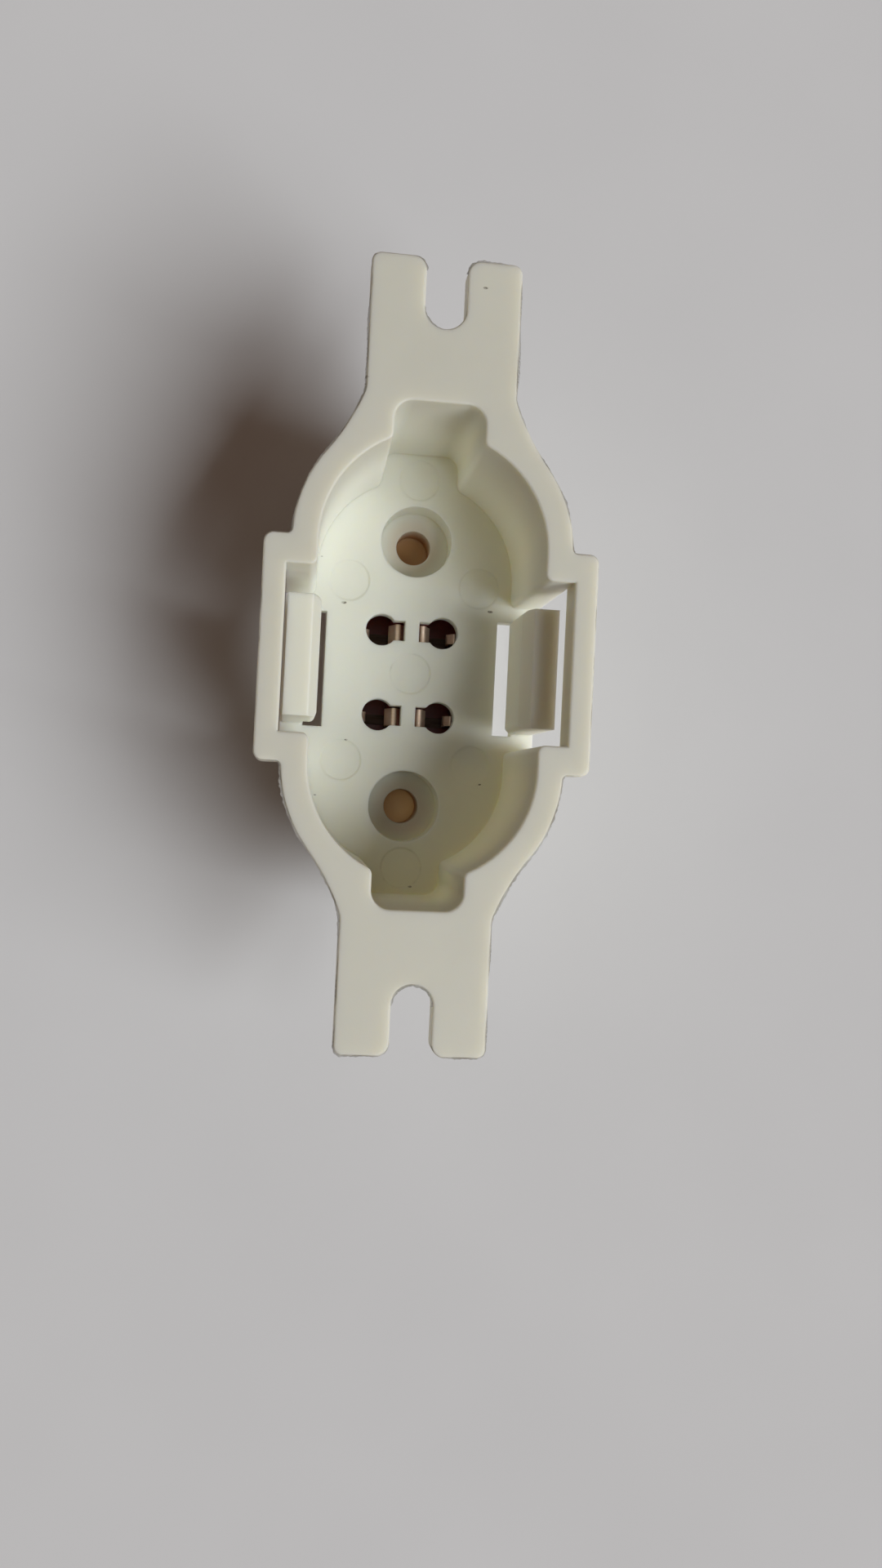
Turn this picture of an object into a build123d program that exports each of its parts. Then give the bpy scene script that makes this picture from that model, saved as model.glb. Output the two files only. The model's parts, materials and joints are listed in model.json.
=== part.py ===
"""Four-pin lamp holder: a moulded housing, a rear cover with cells and four bronze pin contacts.

Millimetres. +Z points out of the lamp well, +Y runs along the two fixing ears and X across
the two snap latches. The origin is the middle of the rear face, which is the mounting face.
"""

import os

from build123d import *

# Heights of the housing
CHAMBER_HEIGHT = 9.5
FLOOR_THICKNESS = 2.0
WELL_DEPTH = 19.7
FLANGE_THICKNESS = 2.6

# Lamp well: a long hole with round ends, and a keyway for the lamp cap at each end
WELL_END_SPACING = 23.0
WELL_RADIUS = 12.05
WELL_DRAFT = 0.9
KEYWAY_WIDTH = 9.7
KEYWAY_REACH = 3.05
KEYWAY_CORNER = 2.0
WELL_CORNER = 0.8
WALL = 1.8
TUB_CHAMFER = 0.6

# Flange round the well, with forked ears for two M4 screws
RIM_WIDTH = 2.8
NECK_ANGLE = 38.0
NECK_RADIUS = 25.0
NECK_BLEND = 3.0
EAR_WIDTH = 15.9
EAR_SLOT_SPACING = 73.0
EAR_SLOT_WIDTH = 4.4
EAR_SLOT_LENGTH = 5.25
EAR_OUTER_CORNER = 1.0
EAR_INNER_CORNER = 1.4
RIM_CHAMFER = 0.12

# Snap latches, set out from the side of the well and up from its floor
TONGUE_LENGTH = 13.2
TONGUE_HEIGHT = 13.85
TONGUE_THICKNESS = 2.4
TONGUE_SETBACK = 0.45
NOSE_REACH = 1.3
NOSE_BOTTOM = 3.3
NOSE_TOP = 11.5
NOSE_CORNER = 0.65
LEAD_IN_WIDTH = 0.95
LEAD_IN_ROUND = 0.15
LATCH_SLOT_WIDTH = 2.25
LATCH_SLOT_MARGIN = 0.25
LATCH_GAP = 0.32

# Side lugs: a bar in front of each tongue, carried by two webs
WINDOW_LENGTH = 17.4
BAR_THICKNESS = 2.43
BAR_HEIGHT = 4.2
WEB_CORNER = 0.8
LUG_LENGTH = 23.6
LUG_CORNER = 1.0
LUG_ROOT = 0.5

# Well floor
PIN_PITCH_X = 7.28
PIN_PITCH_Y = 10.16
APERTURE_DIAMETER = 3.8
APERTURE_SLOT_WIDTH = 2.4
APERTURE_SLOT_REACH = 2.8
EJECTOR_DIAMETER = 4.8
EJECTOR_DEPTH = 0.08
EJECTOR_END_SPACING = 46.4
EJECTOR_SIDE_X = 15.6
EJECTOR_SIDE_Y = 21.4

# Bosses for M4 screws through the floor, which stop short of the rear face
SCREW_SPACING = 31.7
SCREW_HOLE = 4.2
HEAD_BORE = 8.5
HEAD_BORE_DEPTH = 4.0
BOSS_WALL = 1.5
BOSS_SETBACK = 3.0

# Skirt behind the floor, which takes the rear cover
SKIRT_WALL = 1.0
SKIRT_CORNER = 1.0
SKIRT_BOSS_GAP = 0.3

# Rear cover, a snap fit in the skirt, with an open cell for each contact
COVER_BASE = 1.6
COVER_WALL = 0.8
COVER_CLEARANCE = 0.1
COVER_CORNER = 0.6
CELL_SIDE_ROOM = 4.6
PARTITION = 1.0
LEAF_RIB = 0.8
LEAF_RIB_LENGTH = 1.6
LEAF_RIB_CLEARANCE = 0.15
WIRE_HOLE = 2.6
WIRE_HEIGHT = 4.8
WIRE_OFFSET = 1.35
SNAP_LENGTH = 4.8
SNAP_REACH = 0.6
SNAP_THICKNESS = 0.8
SNAP_CLEARANCE = 0.15

# Bronze contacts, bent from strip
STRIP = 0.4
STRIP_BEND = 0.45
INNER_LEAF_WIDTH = 2.1
OUTER_LEAF_WIDTH = 1.2
PIN_GAP = 2.2
CREST_DROP = 0.1
CREST_BEND = 0.2
CREST_SETBACK = 0.8
CREST_FOLD = 0.7
CREST_RETURN = 1.3
LEAF_RAMP = 2.2
LEAF_LEAN = 0.45
LEAF_SHARE = 0.6
OUTER_LEAF_DROP = 2.6
OUTER_LEAF_FLARE = 0.75
CONTACT_CLEARANCE = 0.1
CLAMP_SETBACK = 0.4
CLAMP_FOLD_Y = 1.9
CLAMP_HEIGHT = 3.0
CLAMP_OPENING = 1.9

# Two places closer than this are one place
TOUCH = 0.01

# Levels worked out from the sizes above
floor_under = CHAMBER_HEIGHT
floor_top = floor_under + FLOOR_THICKNESS
rim = floor_top + WELL_DEPTH
flange_under = rim - FLANGE_THICKNESS

# Places worked out from the sizes above
length = EAR_SLOT_SPACING + 2 * EAR_SLOT_LENGTH
well_end_y = WELL_END_SPACING / 2 + WELL_RADIUS
keyway_end_y = well_end_y + KEYWAY_REACH
body_radius = WELL_RADIUS + RIM_WIDTH
neck_start = Vector(body_radius, 0).rotate(Axis.Z, NECK_ANGLE) + Vector(0, WELL_END_SPACING / 2)
neck_reach = Vector(body_radius + NECK_RADIUS, 0).rotate(Axis.Z, NECK_ANGLE)
neck_centre = neck_reach + Vector(0, WELL_END_SPACING / 2)
tongue_inner_x = WELL_RADIUS + TONGUE_SETBACK
tongue_outer_x = tongue_inner_x + TONGUE_THICKNESS
window_x = tongue_outer_x + LATCH_GAP
lug_x = window_x + BAR_THICKNESS
nose_x = tongue_inner_x - NOSE_REACH
slot_x = tongue_inner_x - LATCH_SLOT_WIDTH
pin_x = PIN_PITCH_X / 2
pin_y = PIN_PITCH_Y / 2
screw_y = SCREW_SPACING / 2
boss_radius = HEAD_BORE / 2 + BOSS_WALL
cell_x = pin_x + CELL_SIDE_ROOM
cover_x = cell_x + COVER_WALL
skirt_x = cover_x + COVER_CLEARANCE
skirt_y = screw_y - boss_radius - SKIRT_BOSS_GAP
cover_y = skirt_y - COVER_CLEARANCE
cell_y = cover_y - COVER_WALL
wire_x = cell_x - WIRE_OFFSET
leaf_rib_pitch = INNER_LEAF_WIDTH + 2 * LEAF_RIB_CLEARANCE + LEAF_RIB

# One latch tongue, on the +X side: its profile, trimmed to rounded nose corners in plan
with BuildPart() as latch_tongue:
    with BuildSketch(Plane.XZ) as tongue_profile:
        with BuildLine():
            Polyline(
                (tongue_inner_x, floor_under),
                (tongue_outer_x, floor_under),
                (tongue_outer_x, floor_top + TONGUE_HEIGHT),
                (nose_x + LEAD_IN_WIDTH, floor_top + TONGUE_HEIGHT),
                (nose_x, floor_top + NOSE_TOP),
                (nose_x, floor_top + NOSE_BOTTOM),
                (tongue_inner_x, floor_top + NOSE_BOTTOM),
                close=True,
            )
        make_face()
        fillet(tongue_profile.vertices().group_by(Axis.Y)[-1].sort_by(Axis.X)[0], LEAD_IN_ROUND)
        fillet(tongue_profile.vertices().group_by(Axis.X)[0].sort_by(Axis.Y)[-1], LEAD_IN_ROUND)
    extrude(amount=TONGUE_LENGTH / 2, both=True)
    with BuildSketch(Plane.XY.offset(floor_under)) as tongue_plan:
        with Locations(((nose_x + tongue_outer_x) / 2, 0)):
            Rectangle(tongue_outer_x - nose_x, TONGUE_LENGTH)
        fillet(tongue_plan.vertices().group_by(Axis.X)[0], NOSE_CORNER)
    extrude(amount=FLOOR_THICKNESS + TONGUE_HEIGHT, mode=Mode.INTERSECT)

with BuildPart() as housing:
    # Flange, with a neck that sweeps off its round end to each side of each ear
    with BuildSketch(Plane.XY.offset(flange_under)) as flange:
        with BuildLine():
            Polyline(
                (0, WELL_END_SPACING / 2),
                neck_start,
                (EAR_WIDTH / 2, neck_centre.Y),
                (0, neck_centre.Y),
                close=True,
            )
        make_face()
        with Locations(neck_centre):
            Circle(NECK_RADIUS, mode=Mode.SUBTRACT)
        mirror(about=Plane.YZ)
        mirror(about=Plane.XZ)
        SlotCenterToCenter(WELL_END_SPACING, 2 * body_radius, rotation=90)
        Rectangle(EAR_WIDTH, length)
        ear_sides = flange.vertices().filter_by(lambda v: abs(abs(v.X) - EAR_WIDTH / 2) < TOUCH)
        fillet(ear_sides.filter_by(lambda v: abs(v.Y) < neck_centre.Y), NECK_BLEND)
        with GridLocations(0, EAR_SLOT_SPACING, 1, 2):
            Circle(EAR_SLOT_WIDTH / 2, mode=Mode.SUBTRACT)
        with GridLocations(0, EAR_SLOT_SPACING + EAR_SLOT_LENGTH, 1, 2):
            Rectangle(EAR_SLOT_WIDTH, EAR_SLOT_LENGTH, mode=Mode.SUBTRACT)
        ear_tips = flange.vertices().filter_by(lambda v: abs(v.Y) > length / 2 - TOUCH)
        fillet(ear_tips.filter_by(lambda v: abs(v.X) > EAR_WIDTH / 2 - TOUCH), EAR_OUTER_CORNER)
        fork_tips = flange.vertices().filter_by(lambda v: abs(abs(v.X) - EAR_SLOT_WIDTH / 2) < TOUCH)
        fillet(fork_tips.filter_by(lambda v: abs(v.Y) > length / 2 - TOUCH), EAR_INNER_CORNER)
    extrude(amount=FLANGE_THICKNESS)
    with BuildSketch(Plane.XY.offset(rim)) as lugs:
        RectangleRounded(2 * lug_x, LUG_LENGTH, LUG_CORNER)
    extrude(amount=-BAR_HEIGHT)
    upright_edges = housing.edges().filter_by(Axis.Z)
    lug_roots = upright_edges.filter_by(lambda e: abs(e.center().X) < lug_x - LUG_CORNER)
    fillet(lug_roots.filter_by(lambda e: abs(abs(e.center().Y) - LUG_LENGTH / 2) < TOUCH), LUG_ROOT)

    # Outside of the well, and the webs beside the latch windows
    with BuildSketch(Plane.XY.offset(floor_under)) as tub:
        SlotCenterToCenter(WELL_END_SPACING, 2 * (WELL_RADIUS + WALL), rotation=90)
        RectangleRounded(KEYWAY_WIDTH + 2 * WALL, 2 * (keyway_end_y + WALL), KEYWAY_CORNER + WALL)
        Rectangle(2 * window_x, WINDOW_LENGTH + 2 * WALL)
    extrude(amount=FLOOR_THICKNESS + WELL_DEPTH)
    chamfer(housing.faces().sort_by(Axis.Z)[0].edges(), TUB_CHAMFER)

    # Inside of the well
    with BuildSketch(Plane.XY.offset(rim)) as well:
        SlotCenterToCenter(WELL_END_SPACING, 2 * WELL_RADIUS, rotation=90)
        RectangleRounded(KEYWAY_WIDTH, 2 * keyway_end_y, KEYWAY_CORNER)
        keyway_sides = well.vertices().filter_by(lambda v: abs(abs(v.X) - KEYWAY_WIDTH / 2) < TOUCH)
        fillet(keyway_sides.filter_by(lambda v: abs(v.Y) < well_end_y), WELL_CORNER)
    extrude(amount=-WELL_DEPTH, taper=WELL_DRAFT, mode=Mode.SUBTRACT)
    with BuildSketch(Plane.XY.offset(floor_top)) as windows:
        Rectangle(2 * window_x, WINDOW_LENGTH)
    extrude(amount=WELL_DEPTH, mode=Mode.SUBTRACT)
    window_ends = housing.edges().filter_by(lambda e: abs(abs(e.center().Y) - WINDOW_LENGTH / 2) < TOUCH)
    web_edges = window_ends.filter_by(lambda e: floor_top + TOUCH < e.center().Z < rim - TOUCH)
    fillet(web_edges.filter_by(lambda e: abs(e.center().X) < WELL_RADIUS), WEB_CORNER)

    # Latch slots in the floor, below the noses, and the tongues behind them
    with BuildSketch(Plane.XY.offset(floor_top)) as latch_slots:
        with Locations(((slot_x + tongue_inner_x) / 2, 0), (-(slot_x + tongue_inner_x) / 2, 0)):
            Rectangle(LATCH_SLOT_WIDTH, TONGUE_LENGTH + 2 * LATCH_SLOT_MARGIN)
    extrude(amount=-FLOOR_THICKNESS, mode=Mode.SUBTRACT)
    add(latch_tongue.part)
    mirror(latch_tongue.part, about=Plane.YZ)
    chamfer(housing.faces().sort_by(Axis.Z)[-1].edges(), RIM_CHAMFER)

    # Skirt and screw bosses behind the floor
    with BuildSketch() as skirt:
        RectangleRounded(2 * (skirt_x + SKIRT_WALL), 2 * (skirt_y + SKIRT_WALL), SKIRT_CORNER)
        Rectangle(2 * skirt_x, 2 * skirt_y, mode=Mode.SUBTRACT)
    extrude(amount=floor_under)
    with BuildSketch(Plane.XY.offset(BOSS_SETBACK)) as bosses:
        with GridLocations(0, SCREW_SPACING, 1, 2):
            Circle(boss_radius)
    extrude(amount=floor_under - BOSS_SETBACK)
    with BuildSketch(Plane.XZ) as wire_holes:
        with Locations((wire_x, WIRE_HEIGHT), (-wire_x, WIRE_HEIGHT)):
            Circle(WIRE_HOLE / 2)
    extrude(amount=skirt_y + SKIRT_WALL, both=True, mode=Mode.SUBTRACT)
    with BuildSketch(Plane.YZ) as snap_windows:
        with Locations((0, COVER_BASE / 2)):
            Rectangle(SNAP_LENGTH + 2 * SNAP_CLEARANCE, SNAP_THICKNESS + 2 * SNAP_CLEARANCE)
    extrude(amount=skirt_x + SKIRT_WALL, both=True, mode=Mode.SUBTRACT)

    # Keyhole apertures for the pins, each slot pointing at the middle of the floor
    with BuildSketch(Plane.XY.offset(floor_top)) as apertures:
        with GridLocations(PIN_PITCH_X, PIN_PITCH_Y, 2, 2):
            Circle(APERTURE_DIAMETER / 2)
        with GridLocations(PIN_PITCH_X - APERTURE_SLOT_REACH, PIN_PITCH_Y, 2, 2):
            Rectangle(APERTURE_SLOT_REACH, APERTURE_SLOT_WIDTH)
    extrude(amount=-FLOOR_THICKNESS, mode=Mode.SUBTRACT)

    # Screw holes, and the shallow marks that the ejector pins left
    with Locations((0, screw_y, floor_top), (0, -screw_y, floor_top)):
        CounterBoreHole(SCREW_HOLE / 2, HEAD_BORE / 2, HEAD_BORE_DEPTH, floor_top)
    with BuildSketch(Plane.XY.offset(floor_top)) as ejector_marks:
        with GridLocations(0, EJECTOR_END_SPACING / 2, 1, 3):
            Circle(EJECTOR_DIAMETER / 2)
        with GridLocations(EJECTOR_SIDE_X, EJECTOR_SIDE_Y, 2, 2):
            Circle(EJECTOR_DIAMETER / 2)
    extrude(amount=-EJECTOR_DEPTH, mode=Mode.SUBTRACT)

with BuildPart() as rear_cover:
    with BuildSketch() as cover_block:
        RectangleRounded(2 * cover_x, 2 * cover_y, COVER_CORNER)
    extrude(amount=floor_under)
    with BuildSketch(Plane.XY.offset(COVER_BASE)) as cells:
        Rectangle(2 * cell_x, 2 * cell_y)
    extrude(amount=floor_under - COVER_BASE, mode=Mode.SUBTRACT)
    with BuildSketch(Plane.XZ) as cover_wire_holes:
        with Locations((wire_x, WIRE_HEIGHT), (-wire_x, WIRE_HEIGHT)):
            Circle(WIRE_HOLE / 2)
    extrude(amount=cover_y, both=True, mode=Mode.SUBTRACT)

    # Partitions between the contacts, with short ribs beside each inner leaf
    with BuildSketch(Plane.XY.offset(COVER_BASE)) as partitions:
        Rectangle(PARTITION, 2 * cell_y)
        Rectangle(2 * cell_x, PARTITION)
        for side in (-1, 1):
            with GridLocations(0, PIN_PITCH_Y + side * leaf_rib_pitch, 1, 2):
                Rectangle(PARTITION + 2 * LEAF_RIB_LENGTH, LEAF_RIB)
    extrude(amount=floor_under - COVER_BASE)
    with BuildSketch(Plane.YZ.offset(cell_x)) as snap_tab:
        with Locations((0, COVER_BASE / 2)):
            Rectangle(SNAP_LENGTH, SNAP_THICKNESS)
    extrude(amount=skirt_x + SNAP_REACH - cell_x)
    mirror(about=Plane.YZ)

# The contact of the +X +Y pin: a socket of two leaves on a base strip, and a push-wire clamp
base_z = COVER_BASE + STRIP / 2
leaf_x = pin_x - PIN_GAP / 2 - STRIP / 2
outer_leaf_x = pin_x + PIN_GAP / 2 + STRIP / 2
plate_x = cell_x - CONTACT_CLEARANCE - STRIP / 2
crest_x = leaf_x - CREST_SETBACK
crest_z = floor_under - CREST_DROP
clamp_z = WIRE_HEIGHT - CLAMP_HEIGHT / 2
leaf_bend = Vector(leaf_x, crest_z - LEAF_RAMP)
leaf_foot = Vector(leaf_x - LEAF_LEAN, base_z)
with BuildPart() as pin_contact:
    with BuildSketch(Plane.XZ.offset(-pin_y)) as inner_leaf:
        with BuildLine():
            FilletPolyline(
                (crest_x - CREST_FOLD, crest_z - CREST_RETURN),
                (crest_x, crest_z),
                leaf_bend,
                leaf_bend + (leaf_foot - leaf_bend) * LEAF_SHARE,
                radius=(CREST_BEND, STRIP_BEND),
            )
            offset(amount=STRIP / 2)
        make_face()
    extrude(amount=INNER_LEAF_WIDTH / 2, both=True)

    # Below the inner leaf the strip narrows to the width of the outer leaf
    with BuildSketch(Plane.XZ.offset(-pin_y)) as base_strip:
        with BuildLine():
            FilletPolyline(
                leaf_bend + (leaf_foot - leaf_bend) * LEAF_SHARE / 2,
                leaf_foot,
                (plate_x, base_z),
                (plate_x, WIRE_HEIGHT),
                radius=STRIP_BEND,
            )
            offset(amount=STRIP / 2)
        make_face()
    extrude(amount=OUTER_LEAF_WIDTH / 2, both=True)
    with BuildSketch(Plane.XZ.offset(-pin_y)) as outer_leaf:
        with BuildLine():
            FilletPolyline(
                (outer_leaf_x + LEAF_LEAN, base_z),
                (outer_leaf_x, floor_under - OUTER_LEAF_DROP - OUTER_LEAF_FLARE),
                (outer_leaf_x + OUTER_LEAF_FLARE, floor_under - OUTER_LEAF_DROP),
                radius=STRIP_BEND,
            )
            offset(amount=STRIP / 2)
        make_face()
    extrude(amount=OUTER_LEAF_WIDTH / 2, both=True)
    with BuildSketch(Plane.XY.offset(clamp_z)) as clamp:
        with BuildLine():
            FilletPolyline(
                (plate_x, cell_y - CLAMP_SETBACK),
                (plate_x, pin_y - CLAMP_FOLD_Y),
                (plate_x - CLAMP_OPENING, pin_y - CLAMP_FOLD_Y),
                (plate_x - CLAMP_OPENING / 2 - STRIP, pin_y + CLAMP_FOLD_Y),
                radius=STRIP_BEND,
            )
            offset(amount=STRIP / 2)
        make_face()
    extrude(amount=CLAMP_HEIGHT)

housing.part.label = "housing"
rear_cover.part.label = "rear_cover"
contacts = [
    pin_contact.part,
    mirror(pin_contact.part, about=Plane.YZ),
    mirror(pin_contact.part, about=Plane.XZ),
    mirror(mirror(pin_contact.part, about=Plane.YZ), about=Plane.XZ),
]

os.makedirs("parts", exist_ok=True)
export_step(housing.part, "parts/housing.step")
export_step(rear_cover.part, "parts/rear_cover.step")
for number, contact in enumerate(contacts, start=1):
    contact.label = f"pin_contact_{number}"
    export_step(contact, f"parts/pin_contact_{number}.step")
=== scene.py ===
"""Looks of the four-pin lamp holder: finishes, moulding flash, bore skins, a floor, light and a camera.

Metres, in the frame of the part: +Z out of the lamp well, +Y along the two fixing ears.
"""

import json
import math

import bpy
import numpy as np
from mathutils import Matrix, Vector


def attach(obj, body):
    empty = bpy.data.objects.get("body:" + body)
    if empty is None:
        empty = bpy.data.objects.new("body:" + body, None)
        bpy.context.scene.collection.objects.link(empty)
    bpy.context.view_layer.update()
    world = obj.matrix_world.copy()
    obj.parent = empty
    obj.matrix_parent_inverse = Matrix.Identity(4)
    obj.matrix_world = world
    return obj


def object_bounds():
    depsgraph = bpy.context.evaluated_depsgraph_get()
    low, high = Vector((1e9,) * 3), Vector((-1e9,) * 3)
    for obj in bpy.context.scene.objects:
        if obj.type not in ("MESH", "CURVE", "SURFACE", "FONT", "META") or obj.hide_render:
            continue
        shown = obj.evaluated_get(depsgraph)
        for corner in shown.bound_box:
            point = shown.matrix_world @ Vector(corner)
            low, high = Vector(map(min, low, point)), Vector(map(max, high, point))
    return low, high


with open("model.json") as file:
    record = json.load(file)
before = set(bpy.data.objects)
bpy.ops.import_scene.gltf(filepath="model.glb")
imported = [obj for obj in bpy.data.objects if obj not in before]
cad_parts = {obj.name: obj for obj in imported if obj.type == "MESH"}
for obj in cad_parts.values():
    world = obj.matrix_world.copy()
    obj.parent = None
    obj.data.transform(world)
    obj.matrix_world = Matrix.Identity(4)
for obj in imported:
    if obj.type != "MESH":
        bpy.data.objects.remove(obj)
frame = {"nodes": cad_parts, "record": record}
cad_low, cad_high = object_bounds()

MM = 0.001

# Camera: its place, the point it looks at and how far the picture's top is turned from +Y
CAMERA_PLACE = Vector((-14.5, -15.5, 162.4)) * MM
CAMERA_AIM = Vector((1.9, -13.3, 31.2)) * MM
CAMERA_TURN = math.radians(2.83)
CAMERA_LENS_MM = 29.14
CAMERA_NEAR = 10 * MM

# A broad soft lamp to the right, as a window gives, in metres and watts
KEY_AZIMUTH = math.radians(-30)
KEY_ELEVATION = math.radians(48)
KEY_DISTANCE = 12.0
KEY_SIZE = 7.68
KEY_POWER = 1616
KEY_COLOUR = "F7FBFF"

# A warm fill from all round: its strength low down and overhead, its share on the side away from the
# lamp, and the parts of a direction, along Z and X, between which it changes
FILL_COLOUR = "F4C2A8"
FILL_LEVEL = 0.3
FILL_OVERHEAD = 0.07
FILL_FAR_SIDE = 0.68
FILL_RISE = (0.2, 0.9)
FILL_CROSSING = (-0.8, 0.8)

# What lies round the part: a pale backdrop, and a square of paper with its fibre cloud
BACKDROP_COLOUR = "BFBEBC"
FLOOR_SIZE = 4.0
FIBRE_CLOUD = 30 * MM

# The span of a noise texture in which most of its values lie
NOISE_SPAN = (0.3, 0.7)

# Surface of the housing: its mottle, its grain and that grain's relief, and the softness of its edges.
# The grain is drawn coarser than it is, so that it shows
MOTTLE = 14 * MM
MOULD_GRAIN = 0.35 * MM
MOULD_RELIEF = 0.02 * MM
SOFT_EDGE = 0.3 * MM
MOULD_ROUGHNESS = (0.38, 0.5)

# A grey darkening on the rim that fades down into the well. Down the walls it is painted shade for the
# weaker light there. The values are how far down it reaches, and how much of the plastic it hides
RIM_GREY_DEPTH = 14 * MM
RIM_GREY_SHARES = (0.44, 0.54)

# Dirt below the flange's outer edge: its levels under the rim, its patches, and how far out a face
# lies that takes none of it and all of it
EDGE_DIRT_TOP = 0.3 * MM
EDGE_DIRT_END = 1.1 * MM
EDGE_DIRT_PATCH = 3.5 * MM
EDGE_DIRT_SPAN = (0.42, 0.68)
EDGE_DIRT_SHARES = (0.06, 0.7)
EDGE_DIRT_FACES = (1 * MM, 5 * MM)

# Screw bores, and the painted amber light that is deepest at their lower ends. It stands in for light that
# passes through the translucent plastic
SCREW_Y = 15.85 * MM
SCREW_BORE_RADIUS = 2.1 * MM
SCREW_BORE_END = 3.0 * MM
BORE_GLOW_RADIUS = 4.2 * MM
BORE_GLOW_TOP = 9.0 * MM

# Ejector marks on the well floor, and the dirt and painted shade in the steps round them
FLOOR_LEVEL = 11.5 * MM
EJECTOR_RADIUS = 2.4 * MM
EJECTOR_CENTRES = np.array([(0, 0, 0), (0, 23.2, 0)]) * MM
RING_HALF_WIDTH = 0.1 * MM
RING_DARK_TOP = 0.3 * MM
RING_DARK_FULL = 0.1 * MM
RING_DARK_PATCH = 2.5 * MM
RING_DARK_SPAN = (0.52, 0.7)
RING_DARK_MOST = 0.2

# Dark specks on the ears and in the well: place and radius, in mm
SPECKS = (
    ((-7.85, 28.55, 31.0), 0.25),
    ((4.06, 39.0, 31.2), 0.16),
    ((-11.2, 13.3, 11.6), 0.14),
    ((-10.6, -15.0, 11.6), 0.16),
    ((-8.3, 8.0, 11.5), 0.2),
    ((9.3, 8.05, 11.5), 0.2),
    ((-7.25, -8.3, 11.5), 0.14),
    ((9.0, -12.8, 11.5), 0.14),
    ((1.2, -25.4, 11.5), 0.15),
)
SPECK_SQUEEZE = Vector((0.5, 1, 1))
SPECK_CORE = 0.5
SPECK_GRIT = 0.3 * MM
SPECK_SPAN = (0.3, 0.6)
SPECK_LEAST = 0.2

# Flecks of wood flour in the cover, drawn coarse enough to show
FLECK = 0.5 * MM

# Contacts: the levels between which they turn darker, and the grain that rolling drew out along the strip,
# which is drawn coarser than it is, so that it shows
LOW_DARK_TOP = 5.5 * MM
LOW_DARK_END = 3.0 * MM
LOW_DARK_MOST = 0.9
BRONZE_CLOUD = 2.5 * MM
ROLLED_GRAIN = 0.2 * MM
ROLLED_SQUEEZE = (0.08, 1.0, 0.08)
ROLLED_RELIEF = 0.02 * MM
ROLLED_ROUGHNESS = (0.5, 0.72)

# Moulding flash: a thin ragged fin round the flange, just below its chamfer, from lug to lug
RIM_CHAMFER = 0.12 * MM
LUG_START_X = 15 * MM
FLASH_STEP = 0.2 * MM
FLASH_REACH = 0.32 * MM
FLASH_HEIGHT = 0.2 * MM
FLASH_TIP_DROP = 0.07 * MM
FLASH_ROOT = 0.05 * MM

# What still counts as on the flash's line, as a level normal, and as a triangle with a normal at all
LINE_TOLERANCE = 0.01 * MM
LEVEL_TOLERANCE = 0.01
LEAST_NORMAL = 1e-15

# Waves that make the flash ragged, in radians per mm along x and y
PATCH_WAVES = np.array([0.41, 0.33])
PATCH_STARTS = np.array([0.9, 0.4])
DRIFT_WAVE = np.array([-1.0, 0.9])
DRIFT_SHARE = 0.3
TOOTH_WAVES = np.array([7.3, 6.1])
TOOTH_MIDDLE = 0.55
TOOTH_SWING = 0.3
WOBBLE_WAVES = np.array([3.7, 2.9])
WOBBLE_SIZES = np.array([1.3, 2.0])

# Skins that close the lower ends of the screw bores: thinner in the middle than at the rim
SKIN_RIM = 0.5 * MM
SKIN_MIDDLE = 0.3 * MM
SKIN_OVERLAP = 0.1 * MM
SKIN_SIDES = 48
SKIN_RINGS = 6

# Settings of nodes that are used again and again
SMOOTH = {"interpolation_type": "SMOOTHSTEP"}
COLOURS = {"data_type": "RGBA"}


def linear(code):
    """An sRGB hex code as linear RGBA, by that standard's curve."""
    shares = np.array([int(code[i:i + 2], 16) for i in (0, 2, 4)]) / 255
    light = np.where(shares <= 0.04045, shares / 12.92, ((shares + 0.055) / 1.055) ** 2.4)
    return (*light.tolist(), 1.0)


def add(tree, kind, inputs=(), **settings):
    """Adds a node with its settings and links.

    The inputs are a list in the order of the sockets in use, or a dict by socket name. Each is a
    value, an output, or a node, which gives its first output in use. A MapRange's list is the value,
    the two ends that it comes from and the two that it goes to. A pattern's Scale is one over the
    size of its features.
    """
    node = tree.nodes.new("ShaderNode" + kind)
    for name, value in settings.items():
        setattr(node, name, value)
    if isinstance(inputs, dict):
        pairs = [(node.inputs[name], value) for name, value in inputs.items()]
    else:
        pairs = zip([socket for socket in node.inputs if socket.enabled], inputs)
    for socket, value in pairs:
        if isinstance(value, bpy.types.Node):
            value = next(output for output in value.outputs if output.enabled)
        if isinstance(value, bpy.types.NodeSocket):
            tree.links.new(value, socket)
        else:
            socket.default_value = value
    return node


def new_material(name):
    """An empty node material, its tree, and the Object coordinates that its patterns read."""
    material = bpy.data.materials.new(name)
    material.use_nodes = True
    tree = material.node_tree
    tree.nodes.clear()
    return material, tree, add(tree, "TexCoord").outputs["Object"]


def folded(tree, place):
    """The place in plan, with the four quarters of the part laid on one another."""
    level = add(tree, "VectorMath", [place, (1, 1, 0)], operation="MULTIPLY")
    return add(tree, "VectorMath", [level], operation="ABSOLUTE")


def rim_grey_and_wall_shade(tree, height, mottle):
    """A grey darkening of the rim, uneven, and thinner down into the well, where it is painted shade for
    the weaker light on the walls.
    """
    share = add(tree, "MapRange", [mottle, *NOISE_SPAN, *RIM_GREY_SHARES], **SMOOTH)
    return add(tree, "MapRange", [height, cad_high.z - RIM_GREY_DEPTH, cad_high.z, 0.0, share], **SMOOTH)


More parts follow.
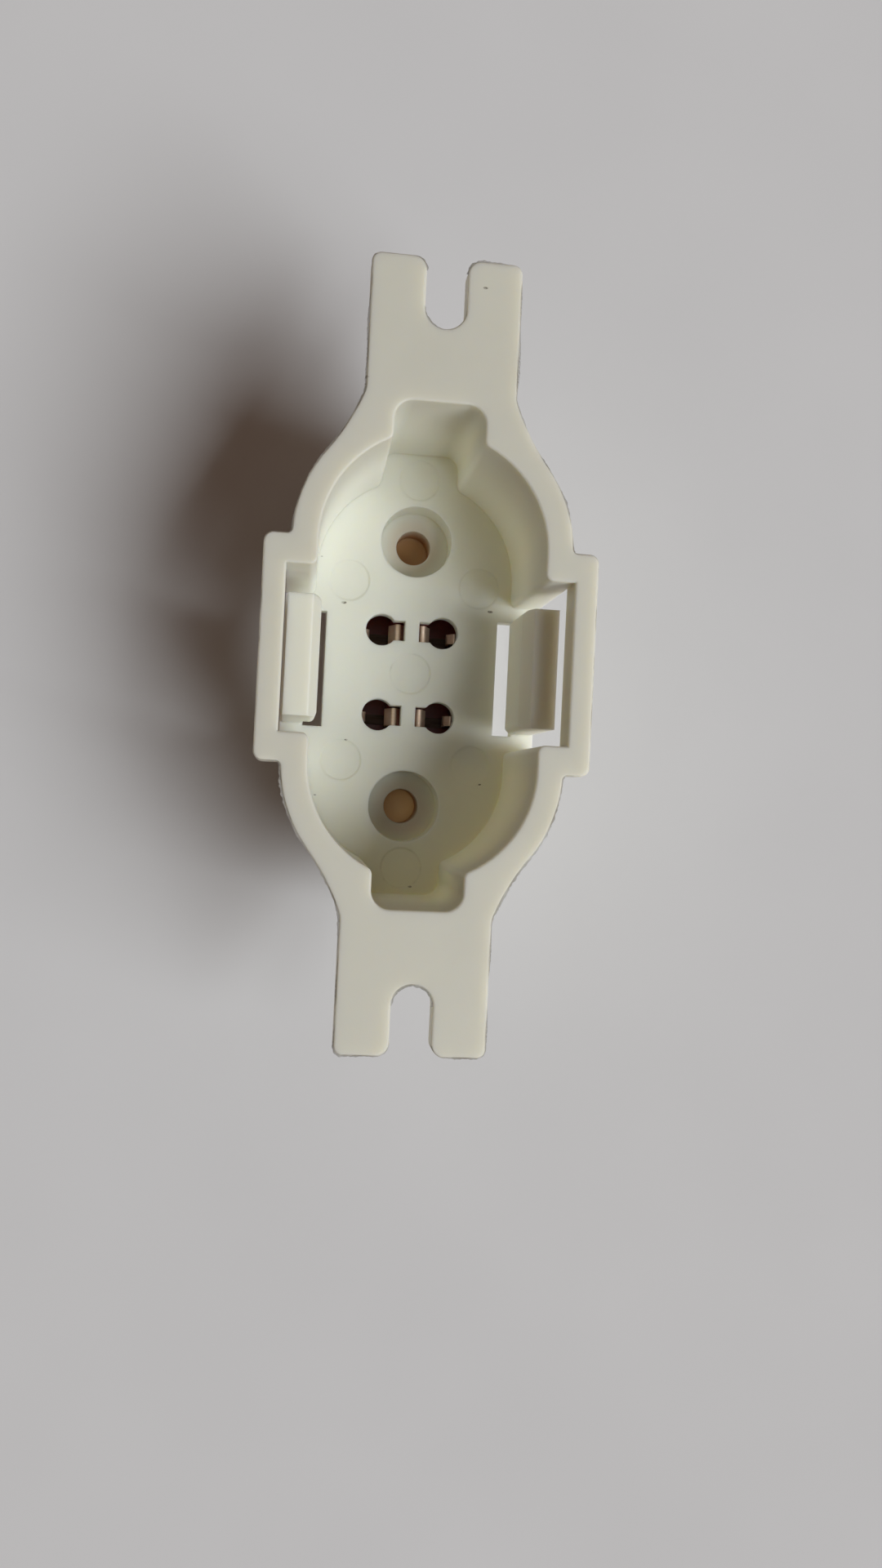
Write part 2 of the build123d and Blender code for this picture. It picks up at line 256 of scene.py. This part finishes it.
def painted_bore_glow(tree, place, height):
    """Painted light: the amber of the two screw bores, which stands in for light through the translucent
    plastic. It is deeper further down and fades out in the plastic round them.
    """
    away = add(tree, "VectorMath", [folded(tree, place), (0, SCREW_Y, 0)], operation="DISTANCE")
    inside = add(tree, "MapRange", [away, BORE_GLOW_RADIUS, SCREW_BORE_RADIUS, 0.0, 1.0], **SMOOTH)
    return add(tree, "MapRange", [height, BORE_GLOW_TOP, SCREW_BORE_END, 0.0, inside])


def edge_grime(tree, place, height):
    """Patches of dirt just under the flange's outer edge: on faces near the top that look outwards."""
    normal = add(tree, "NewGeometry").outputs["Normal"]
    level = add(tree, "VectorMath", [normal, (1, 1, 0)], operation="MULTIPLY")
    outwards = add(tree, "VectorMath", [level, place], operation="DOT_PRODUCT")
    clouds = add(tree, "TexNoise", {"Vector": place, "Scale": 1 / EDGE_DIRT_PATCH, "Detail": 5.0})
    patches = add(tree, "MapRange", [clouds, *EDGE_DIRT_SPAN, *EDGE_DIRT_SHARES], **SMOOTH)
    levels = [cad_high.z - EDGE_DIRT_END, cad_high.z - EDGE_DIRT_TOP]
    band = add(tree, "MapRange", [height, *levels, 0.0, patches], **SMOOTH)
    return add(tree, "MapRange", [outwards, *EDGE_DIRT_FACES, 0.0, band], **SMOOTH)


def ring_dirt_and_shade(tree, place, height):
    """Dirt and painted shade in the steps that the ejector pins left round their marks on the well floor.
    """
    plan = folded(tree, place)
    away = [add(tree, "VectorMath", [plan, centre], operation="DISTANCE") for centre in EJECTOR_CENTRES]
    nearest = add(tree, "Math", away, operation="MINIMUM")
    clouds = add(tree, "TexNoise", {"Vector": place, "Scale": 1 / RING_DARK_PATCH, "Detail": 3.0})
    patches = add(tree, "MapRange", [clouds, *RING_DARK_SPAN, 0.0, RING_DARK_MOST], **SMOOTH)
    levels = [FLOOR_LEVEL + RING_DARK_TOP, FLOOR_LEVEL + RING_DARK_FULL]
    on_floor = add(tree, "MapRange", [height, *levels, 0.0, patches], **SMOOTH)
    on_ring = add(tree, "Math", [nearest, EJECTOR_RADIUS, RING_HALF_WIDTH], operation="COMPARE")
    return add(tree, "Math", [on_ring, on_floor], operation="MULTIPLY")


def speck_grime(tree, place):
    """Single specks of dirt, each with a ragged edge and twice as wide as it is long."""
    ragged = add(tree, "TexNoise", {"Vector": place, "Scale": 1 / SPECK_GRIT, "Detail": 3.0})
    darkness = add(tree, "MapRange", [ragged, *SPECK_SPAN, SPECK_LEAST, 1.0], **SMOOTH)
    squeezed = add(tree, "VectorMath", [place, SPECK_SQUEEZE], operation="MULTIPLY")
    total = 0.0
    for spot, radius_mm in SPECKS:
        centre = Vector(spot) * SPECK_SQUEEZE * MM
        radius = radius_mm * MM
        away = add(tree, "VectorMath", [squeezed, centre], operation="DISTANCE")
        mask = add(tree, "MapRange", [away, radius, SPECK_CORE * radius, 0.0, darkness], **SMOOTH)
        total = add(tree, "Math", [mask, total], operation="MAXIMUM")
    return total


def ivory_pbt():
    """PBT, injection moulded: satin, slightly translucent, with old dirt, a grey rim, painted shade down
    the well walls and in the ejector steps, and painted amber light in the bores.
    """
    material, tree, place = new_material("ivory_pbt_moulded")
    height = add(tree, "SeparateXYZ", [place]).outputs["Z"]
    mottle = add(tree, "TexNoise", {"Vector": place, "Scale": 1 / MOTTLE, "Detail": 3.0})
    colour = add(tree, "Mix", [mottle, linear("E0E0D3"), linear("E6E6D9")], **COLOURS)
    coats = (
        # Grey rim, and painted shade down the well walls
        (rim_grey_and_wall_shade(tree, height, mottle), "B0AFA0"),
        # Painted amber light in the bores
        (painted_bore_glow(tree, place, height), "B97A22"),
        (edge_grime(tree, place, height), "6A6253"),
        # Dirt and painted shade in the ejector steps
        (ring_dirt_and_shade(tree, place, height), "8A8573"),
        (speck_grime(tree, place), "6E6656"),
    )
    for mask, coat in coats:
        colour = add(tree, "Mix", [mask, colour, linear(coat)], **COLOURS)
    soft_edges = add(tree, "Bevel", {"Radius": SOFT_EDGE}, samples=2)
    grain = add(tree, "TexNoise", {"Vector": place, "Scale": 1 / MOULD_GRAIN, "Detail": 2.0})
    relief = {"Height": grain, "Strength": 0.25, "Distance": MOULD_RELIEF, "Normal": soft_edges}
    finish = {
        "Base Color": colour,
        "Roughness": add(tree, "MapRange", [mottle, *NOISE_SPAN, *MOULD_ROUGHNESS], **SMOOTH),
        "Normal": add(tree, "Bump", relief),
        "IOR": 1.5,
        "Subsurface Weight": 0.8,
        "Subsurface Radius": (1.0, 0.85, 0.6),
        "Subsurface Scale": 3.2 * MM,
    }
    add(tree, "OutputMaterial", [add(tree, "BsdfPrincipled", finish)])
    return material


def brown_phenolic():
    """Wood-flour filled phenolic, compression moulded: dull dark red-brown with fine flecks."""
    material, tree, place = new_material("brown_phenolic_moulded")
    flecks = add(tree, "TexNoise", {"Vector": place, "Scale": 1 / FLECK, "Detail": 4.0})
    colour = add(tree, "Mix", [flecks, linear("741F18"), linear("9C3129")], **COLOURS)
    finish = {"Base Color": colour, "Roughness": 0.35, "IOR": 1.6}
    add(tree, "OutputMaterial", [add(tree, "BsdfPrincipled", finish)])
    return material


def phosphor_bronze():
    """Phosphor bronze strip, rolled then bent: dull, with fine grain, and darker low down."""
    material, tree, place = new_material("phosphor_bronze_strip")
    along = add(tree, "Mapping", {"Vector": place, "Scale": ROLLED_SQUEEZE})
    grain = add(tree, "TexNoise", {"Vector": along, "Scale": 1 / ROLLED_GRAIN, "Detail": 3.0})
    clouds = add(tree, "TexNoise", {"Vector": place, "Scale": 1 / BRONZE_CLOUD, "Detail": 3.0})
    bright = add(tree, "Mix", [clouds, linear("E6CDB8"), linear("F6E4D4")], **COLOURS)
    height = add(tree, "SeparateXYZ", [place]).outputs["Z"]
    low_darkening = add(tree, "MapRange", [height, LOW_DARK_TOP, LOW_DARK_END, 0.0, LOW_DARK_MOST], **SMOOTH)
    finish = {
        "Base Color": add(tree, "Mix", [low_darkening, bright, linear("3B2620")], **COLOURS),
        "Metallic": 1.0,
        "Roughness": add(tree, "MapRange", [grain, *NOISE_SPAN, *ROLLED_ROUGHNESS], **SMOOTH),
        "Normal": add(tree, "Bump", {"Height": grain, "Strength": 0.2, "Distance": ROLLED_RELIEF}),
    }
    add(tree, "OutputMaterial", [add(tree, "BsdfPrincipled", finish)])
    return material


def matt_paper():
    """Uncoated white paper: matt, with a faint fibre cloud."""
    material, tree, place = new_material("matt_white_paper")
    fibres = add(tree, "TexNoise", {"Vector": place, "Scale": 1 / FIBRE_CLOUD, "Detail": 2.0})
    colour = add(tree, "Mix", [fibres, linear("C9C9C8"), linear("CFCFCE")], **COLOURS)
    finish = {"Base Color": colour, "Roughness": 0.9, "Specular IOR Level": 0.1}
    add(tree, "OutputMaterial", [add(tree, "BsdfPrincipled", finish)])
    return material


def dress_nodes(finishes):
    """Gives each CAD node the finish of its material slot in the record."""
    for subpart in frame["record"]["subparts"]:
        mesh = frame["nodes"][subpart["node"]].data
        mesh.materials.clear()
        mesh.materials.append(finishes[subpart["material_slot"]])


def mesh_object(name, points, faces, finish):
    """A mesh object at the origin, with one finish."""
    mesh = bpy.data.meshes.new(name)
    mesh.from_pydata(points.reshape(-1, 3).tolist(), [], faces)
    mesh.materials.append(finish)
    item = bpy.data.objects.new(name, mesh)
    bpy.context.scene.collection.objects.link(item)
    return item


def flange_edges(mesh):
    """Both ends of each straight bit of the flange's outline under its chamfer, and the way outwards.

    A triangle of an outer side wall has two corners on that line and a level normal that points
    away from the middle of the part.
    """
    points = np.empty(3 * len(mesh.vertices))
    mesh.vertices.foreach_get("co", points)
    mesh.calc_loop_triangles()
    corners = np.empty(3 * len(mesh.loop_triangles), dtype=int)
    mesh.loop_triangles.foreach_get("vertices", corners)
    triangles = points.reshape(-1, 3)[corners.reshape(-1, 3)]
    on_line = np.abs(triangles[:, :, 2] - (cad_high.z - RIM_CHAMFER)) < LINE_TOLERANCE
    first = np.argsort(~on_line, axis=1, kind="stable")
    ends = np.take_along_axis(triangles, first[:, :2, None], axis=1)
    normals = np.cross(triangles[:, 1] - triangles[:, 0], triangles[:, 2] - triangles[:, 0])
    normals /= np.maximum(np.linalg.norm(normals, axis=1, keepdims=True), LEAST_NORMAL)
    middles = ends.mean(axis=1)
    wanted = on_line.sum(axis=1) == 2
    wanted &= np.abs(normals[:, 2]) < LEVEL_TOLERANCE
    wanted &= np.sum(normals[:, :2] * middles[:, :2], axis=1) > 0
    wanted &= np.abs(middles[:, 0]) < LUG_START_X
    return ends[wanted], normals[wanted]


def ragged_share(place):
    """The share of its full reach that the flash has at each place, x and y in mm along the last axis.

    A slow wave leaves some stretches bare: a product of sines along x and y, with a slanting sine
    added. A quick wave makes the teeth: a product of sines along x and y, each shifted by a sine
    along the other. The share is one times the other.
    """
    patches = np.prod(np.sin(PATCH_WAVES * place + PATCH_STARTS), axis=-1)
    slow = np.clip((1 + patches) / 2 + DRIFT_SHARE * np.sin(place @ DRIFT_WAVE), 0, 1)
    wobbles = WOBBLE_SIZES * np.sin(WOBBLE_WAVES * place)
    teeth = np.prod(np.sin(TOOTH_WAVES * place + wobbles[..., ::-1]), axis=-1)
    return slow * (TOOTH_MIDDLE + TOOTH_SWING * teeth)


def moulding_flash(finish):
    """A fin along each bit of outline: a thin wedge that reaches out by a ragged amount.

    Each bit is cut into steps. At both ends of a step lie three corners, 0 to 2 and 3 to 5: the root,
    just inside the wall, the tip, FLASH_REACH times the ragged share outwards, and the underside.
    """
    ends, normals = flange_edges(frame["nodes"]["housing"].data)
    spans = ends[:, 1] - ends[:, 0]
    pieces = np.ceil(np.linalg.norm(spans, axis=1) / FLASH_STEP).astype(int)
    owner = np.repeat(np.arange(len(pieces)), pieces)
    step = np.arange(len(owner)) - np.repeat(np.cumsum(pieces) - pieces, pieces)
    along = (step[:, None] + np.array([0, 1])) / pieces[owner][:, None]
    edge = ends[owner, 0][:, None] + spans[owner][:, None] * along[:, :, None]
    out = np.broadcast_to(normals[owner][:, None], edge.shape)
    reach = FLASH_REACH * ragged_share(edge[:, :, :2] / MM)[:, :, None]
    up = np.array([0, 0, 1])
    root = edge - out * FLASH_ROOT
    tip = edge + out * reach - up * FLASH_TIP_DROP
    under = root - up * FLASH_HEIGHT
    points = np.stack([root, tip, under], axis=2)
    numbers = np.arange(points.size // 3).reshape(len(owner), -1)
    wedge = np.array([(0, 3, 4, 1), (1, 4, 5, 2), (2, 5, 3, 0)])
    faces = numbers[:, wedge].reshape(-1, 4)
    piece = mesh_object("moulding_flash", points, faces.tolist(), finish)
    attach(piece, "root")


def bore_skins(finish):
    """A thin moulded skin across the lower end of each screw bore, for a screw to break through.

    Each is turned about its bore: flat below, and above a dish whose height grows with the square
    of the distance from the axis, from SKIN_MIDDLE to SKIN_RIM.
    """
    turn = np.linspace(0, 2 * np.pi, SKIN_SIDES, endpoint=False)
    share = np.linspace(1 / SKIN_RINGS, 1, SKIN_RINGS)
    dish = SKIN_MIDDLE + (SKIN_RIM - SKIN_MIDDLE) * share ** 2
    radius = np.append(share, 1)[:, None] * (SCREW_BORE_RADIUS + SKIN_OVERLAP)
    height = np.append(dish, 0)[:, None] + SCREW_BORE_END
    x, y, z = np.broadcast_arrays(radius * np.cos(turn), radius * np.sin(turn), height)
    numbers = np.arange(x.size).reshape(x.shape)
    beside = np.roll(numbers, -1, axis=1)
    bands = np.stack([numbers[:-1], numbers[1:], beside[1:], beside[:-1]], axis=2).reshape(-1, 4)
    faces = [*bands.tolist(), numbers[0].tolist(), numbers[-1][::-1].tolist()]
    for name, bore_y in (("bore_skin_back", SCREW_Y), ("bore_skin_front", -SCREW_Y)):
        # The ivory finish gives these skins the bores' painted amber light
        piece = mesh_object(name, np.stack([x, y + bore_y, z], axis=2), faces, finish)
        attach(piece, "root")


def lay_floor():
    """A flat square under the part: corners at plus and minus half its size, at the part's lowest level."""
    half = FLOOR_SIZE / 2
    corners = np.array([[-half, -half], [half, -half], [half, half], [-half, half]])
    points = np.column_stack([corners, np.full(len(corners), cad_low.z)])
    mesh_object("floor", points, [(0, 1, 2, 3)], matt_paper())


def hang_lamp():
    """A square area lamp that faces the middle of the part."""
    lamp = bpy.data.lights.new("window_lamp", "AREA")
    lamp.shape = "SQUARE"
    lamp.size = KEY_SIZE
    lamp.energy = KEY_POWER
    lamp.color = linear(KEY_COLOUR)[:3]
    level = Vector((math.cos(KEY_AZIMUTH), math.sin(KEY_AZIMUTH), 0))
    towards = level * math.cos(KEY_ELEVATION) + Vector((0, 0, math.sin(KEY_ELEVATION)))
    window = bpy.data.objects.new("window_lamp", lamp)
    window.location = (cad_low + cad_high) / 2 + towards * KEY_DISTANCE
    window.rotation_euler = towards.to_track_quat("Z", "Y").to_euler()
    bpy.context.scene.collection.objects.link(window)


def fill_room():
    """Light from all round: weaker overhead, and weaker on the side away from the lamp.

    The camera, and what mirrors or passes light, sees a plain pale backdrop in its place. The fill is
    smooth, so it is left out of the lamps' own sampling, which keeps the picture quick and clean.
    """
    world = bpy.data.worlds.new("room_fill")
    world.use_nodes = True
    tree = world.node_tree
    tree.nodes.clear()
    direction = add(tree, "TexCoord").outputs["Object"]
    parts = add(tree, "SeparateXYZ", [direction]).outputs
    overhead = add(tree, "MapRange", [parts["Z"], *FILL_RISE, FILL_LEVEL, FILL_OVERHEAD], **SMOOTH)
    across = add(tree, "MapRange", [parts["X"], *FILL_CROSSING, FILL_FAR_SIDE, 1.0], **SMOOTH)
    strength = add(tree, "Math", [overhead, across], operation="MULTIPLY")
    fill = add(tree, "Background", [linear(FILL_COLOUR), strength])
    backdrop = add(tree, "Background", [linear(BACKDROP_COLOUR), 1.0])
    path = add(tree, "LightPath").outputs
    seen = add(tree, "Math", [path["Is Camera Ray"], path["Is Glossy Ray"]], operation="MAXIMUM")
    seen = add(tree, "Math", [seen, path["Is Transmission Ray"]], operation="MAXIMUM")
    add(tree, "OutputWorld", [add(tree, "MixShader", [seen, fill, backdrop])])
    world.cycles.sampling_method = "NONE"
    bpy.context.scene.world = world


def place_camera():
    """Looks from CAMERA_PLACE at CAMERA_AIM, with +Y turned CAMERA_TURN from the picture's top."""
    back = (CAMERA_PLACE - CAMERA_AIM).normalized()
    top = Vector((-math.sin(CAMERA_TURN), math.cos(CAMERA_TURN), 0))
    right = top.cross(back).normalized()
    up = back.cross(right)
    camera = bpy.data.objects.new("camera", bpy.data.cameras.new("camera"))
    camera.data.lens = CAMERA_LENS_MM
    camera.data.clip_start = CAMERA_NEAR
    turn = Matrix((right, up, back)).transposed().to_4x4()
    camera.matrix_world = Matrix.Translation(CAMERA_PLACE) @ turn
    bpy.context.scene.collection.objects.link(camera)
    bpy.context.scene.camera = camera


finishes = {
    "ivory_pbt": ivory_pbt(),
    "brown_phenolic": brown_phenolic(),
    "phosphor_bronze": phosphor_bronze(),
}
dress_nodes(finishes)
moulding_flash(finishes["ivory_pbt"])
bore_skins(finishes["ivory_pbt"])
lay_floor()
hang_lamp()
fill_room()
place_camera()
bpy.context.scene.view_settings.view_transform = "Standard"
